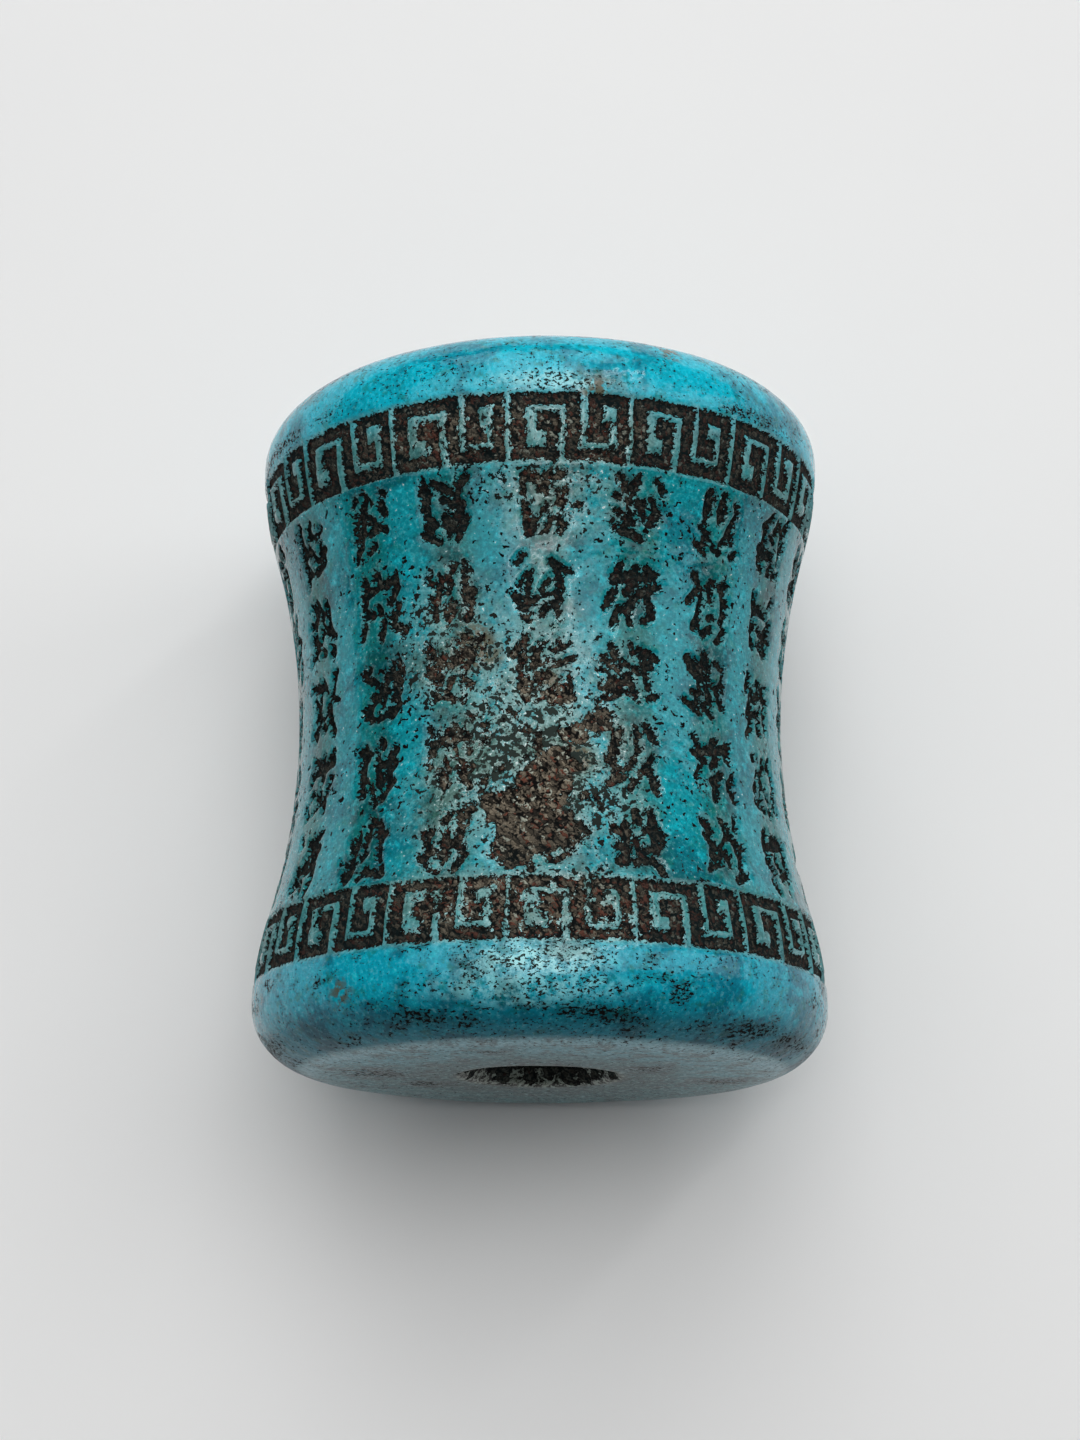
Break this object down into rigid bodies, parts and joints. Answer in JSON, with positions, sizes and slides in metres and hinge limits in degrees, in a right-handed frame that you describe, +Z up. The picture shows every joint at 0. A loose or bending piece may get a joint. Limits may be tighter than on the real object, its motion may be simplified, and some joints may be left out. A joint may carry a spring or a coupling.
{
  "type": "waisted tube bead",
  "caption": "Waisted tube bead of turquoise-glazed ceramic with a round bore, key-fret bands at both rims and columns of short cut strokes on its waist, lying on its side.",
  "frame": {"origin": "middle of the bead's footprint, on the surface that it lies on", "axes": "+Y along the bore, towards the larger rim; +Z up, the side that the picture shows"},
  "size_m": [0.022, 0.026, 0.0217],
  "materials": {
    "glaze": "worn satin turquoise glaze with fine pits, cut through to a rough dark brown body"
  },
  "bodies": {
    "root": {"bead": "glaze"}
  },
  "joints": []
}
